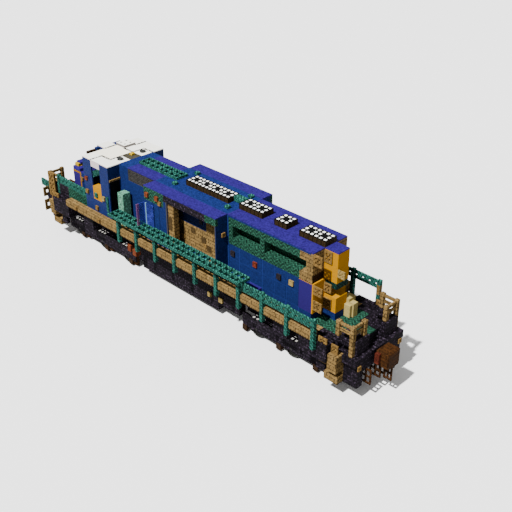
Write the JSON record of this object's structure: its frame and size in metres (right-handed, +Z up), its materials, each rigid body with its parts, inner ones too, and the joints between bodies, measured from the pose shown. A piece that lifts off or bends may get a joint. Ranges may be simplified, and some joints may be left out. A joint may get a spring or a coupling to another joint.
{
  "type": "diesel locomotive",
  "caption": "Hood-unit diesel locomotive with a square-cut stepped body, swivelling bogies, spinning wheelsets, walkway rails, swinging couplers and hinged cab and hood doors.",
  "frame": {"origin": "centre of the overall box at the level of the lowest flange edges", "axes": "+X along the locomotive from the cab end to the tail, +Y to the far side, +Z up"},
  "size_m": [19.8, 4.2, 5.0248],
  "materials": {
    "dark_brick": "matt, mottled",
    "brown_casting": "matt",
    "tan_plank": "matt, planked",
    "teal_metal": "satin",
    "blue_paint": "satin, mottled",
    "white_plate": "satin",
    "yellow_paint": "satin",
    "dark_leaf": "matt",
    "glass": "clear",
    "purple_paint": "satin, mottled",
    "violet_paint": "satin",
    "green_grille": "matt",
    "brown_wood": "matt",
    "steel": "worn"
  },
  "bodies": {
    "frame_and_body": {"underframe": "dark_brick", "pilot_front": "dark_brick", "pilot_rear": "dark_brick", "fuel_tank": "dark_brick", "cab_steps": "tan_plank", "plank_kerbs": "tan_plank", "side_rail_near": "teal_metal", "side_rail_far": "teal_metal", "end_posts": "tan_plank", "nose_rails": "teal_metal", "cab_shell": "blue_paint", "cab_roof": "white_plate", "cab_sill_panels": "yellow_paint", "cab_seats": "teal_metal", "cab_windscreens": "glass", "walkway_box": "purple_paint", "short_nose": "violet_paint", "link_hood": "blue_paint", "engine_room": "blue_paint", "engine_bulkhead": "blue_paint", "engine_block": "tan_plank", "long_hood": "blue_paint", "radiator_grilles": "green_grille", "corner_planks": "tan_plank", "tail_column": "yellow_paint", "roof_covers": "purple_paint", "roof_fan_boxes": "brown_wood", "roof_grate": "teal_metal", "tail_floor": "green_grille", "nose_walls": "green_grille", "pilot_flaps": "brown_casting"},
    "bogie_front": {"bogie_frame_front": "dark_brick", "spring_boxes_front": "brown_wood", "brake_shoes_front": "brown_casting"},
    "wheels_front_1": {"wheelset_front_1": "steel"},
    "wheels_front_2": {"wheelset_front_2": "steel"},
    "wheels_front_3": {"wheelset_front_3": "steel"},
    "bogie_rear": {"bogie_frame_rear": "dark_brick", "spring_boxes_rear": "brown_wood", "brake_shoes_rear": "brown_casting"},
    "wheels_rear_1": {"wheelset_rear_1": "steel"},
    "wheels_rear_2": {"wheelset_rear_2": "steel"},
    "wheels_rear_3": {"wheelset_rear_3": "steel"},
    "coupler_front": {"coupler_front": "brown_casting"},
    "coupler_rear": {"coupler_rear": "brown_casting"},
    "cab_door_near": {"cab_door_near": "dark_leaf"},
    "hood_door_near_1": {"hood_door_near_1": "blue_paint"},
    "hood_door_near_3": {"hood_door_near_3": "blue_paint"},
    "hood_door_near_5": {"hood_door_near_5": "blue_paint"},
    "hood_door_near_6": {"hood_door_near_6": "blue_paint"},
    "cab_door_far": {"cab_door_far": "dark_leaf"},
    "hood_door_far_1": {"hood_door_far_1": "blue_paint"},
    "hood_door_far_3": {"hood_door_far_3": "blue_paint"},
    "hood_door_far_5": {"hood_door_far_5": "blue_paint"},
    "hood_door_far_6": {"hood_door_far_6": "blue_paint"}
  },
  "joints": [
    {"name": "bogie_front_swivel", "type": "hinge", "parent": "frame_and_body", "child": "bogie_front", "pos_m": [-5.76, 0, 1], "axis": [0, 0, 1], "range_deg": [-4, 4]},
    {"name": "wheels_front_1_spin", "type": "hinge", "parent": "bogie_front", "child": "wheels_front_1", "pos_m": [-7.56, 0, 0.397], "axis": [0, 1, 0], "continuous": true},
    {"name": "wheels_front_2_spin", "type": "hinge", "parent": "bogie_front", "child": "wheels_front_2", "pos_m": [-5.76, 0, 0.397], "axis": [0, 1, 0], "continuous": true},
    {"name": "wheels_front_3_spin", "type": "hinge", "parent": "bogie_front", "child": "wheels_front_3", "pos_m": [-3.96, 0, 0.397], "axis": [0, 1, 0], "continuous": true},
    {"name": "bogie_rear_swivel", "type": "hinge", "parent": "frame_and_body", "child": "bogie_rear", "pos_m": [6, 0, 1], "axis": [0, 0, 1], "range_deg": [-4, 4]},
    {"name": "wheels_rear_1_spin", "type": "hinge", "parent": "bogie_rear", "child": "wheels_rear_1", "pos_m": [4.2, 0, 0.397], "axis": [0, 1, 0], "continuous": true},
    {"name": "wheels_rear_2_spin", "type": "hinge", "parent": "bogie_rear", "child": "wheels_rear_2", "pos_m": [6, 0, 0.397], "axis": [0, 1, 0], "continuous": true},
    {"name": "wheels_rear_3_spin", "type": "hinge", "parent": "bogie_rear", "child": "wheels_rear_3", "pos_m": [7.8, 0, 0.397], "axis": [0, 1, 0], "continuous": true},
    {"name": "coupler_front_swing", "type": "hinge", "parent": "frame_and_body", "child": "coupler_front", "pos_m": [-8.55, 0, 1.5], "axis": [0, 0, 1], "range_deg": [-7, 7]},
    {"name": "coupler_rear_swing", "type": "hinge", "parent": "frame_and_body", "child": "coupler_rear", "pos_m": [8.55, 0, 1.5], "axis": [0, 0, 1], "range_deg": [-7, 7]},
    {"name": "cab_door_near_hinge", "type": "hinge", "parent": "frame_and_body", "child": "cab_door_near", "pos_m": [-3.942, -1.423, 3.09], "axis": [0, 0, 1], "range_deg": [0, 90]},
    {"name": "hood_door_near_1_hinge", "type": "hinge", "parent": "frame_and_body", "child": "hood_door_near_1", "pos_m": [3.283, -0.892, 3], "axis": [0, 0, 1], "range_deg": [0, 90]},
    {"name": "hood_door_near_3_hinge", "type": "hinge", "parent": "frame_and_body", "child": "hood_door_near_3", "pos_m": [4.483, -0.892, 3], "axis": [0, 0, 1], "range_deg": [0, 90]},
    {"name": "hood_door_near_5_hinge", "type": "hinge", "parent": "frame_and_body", "child": "hood_door_near_5", "pos_m": [5.683, -0.892, 3], "axis": [0, 0, 1], "range_deg": [0, 90]},
    {"name": "hood_door_near_6_hinge", "type": "hinge", "parent": "frame_and_body", "child": "hood_door_near_6", "pos_m": [6.283, -0.892, 3], "axis": [0, 0, 1], "range_deg": [0, 90]},
    {"name": "cab_door_far_hinge", "type": "hinge", "parent": "frame_and_body", "child": "cab_door_far", "pos_m": [-3.942, 1.423, 3.09], "axis": [0, 0, -1], "range_deg": [0, 90]},
    {"name": "hood_door_far_1_hinge", "type": "hinge", "parent": "frame_and_body", "child": "hood_door_far_1", "pos_m": [3.283, 0.892, 3], "axis": [0, 0, -1], "range_deg": [0, 90]},
    {"name": "hood_door_far_3_hinge", "type": "hinge", "parent": "frame_and_body", "child": "hood_door_far_3", "pos_m": [4.483, 0.892, 3], "axis": [0, 0, -1], "range_deg": [0, 90]},
    {"name": "hood_door_far_5_hinge", "type": "hinge", "parent": "frame_and_body", "child": "hood_door_far_5", "pos_m": [5.683, 0.892, 3], "axis": [0, 0, -1], "range_deg": [0, 90]},
    {"name": "hood_door_far_6_hinge", "type": "hinge", "parent": "frame_and_body", "child": "hood_door_far_6", "pos_m": [6.283, 0.892, 3], "axis": [0, 0, -1], "range_deg": [0, 90]}
  ]
}
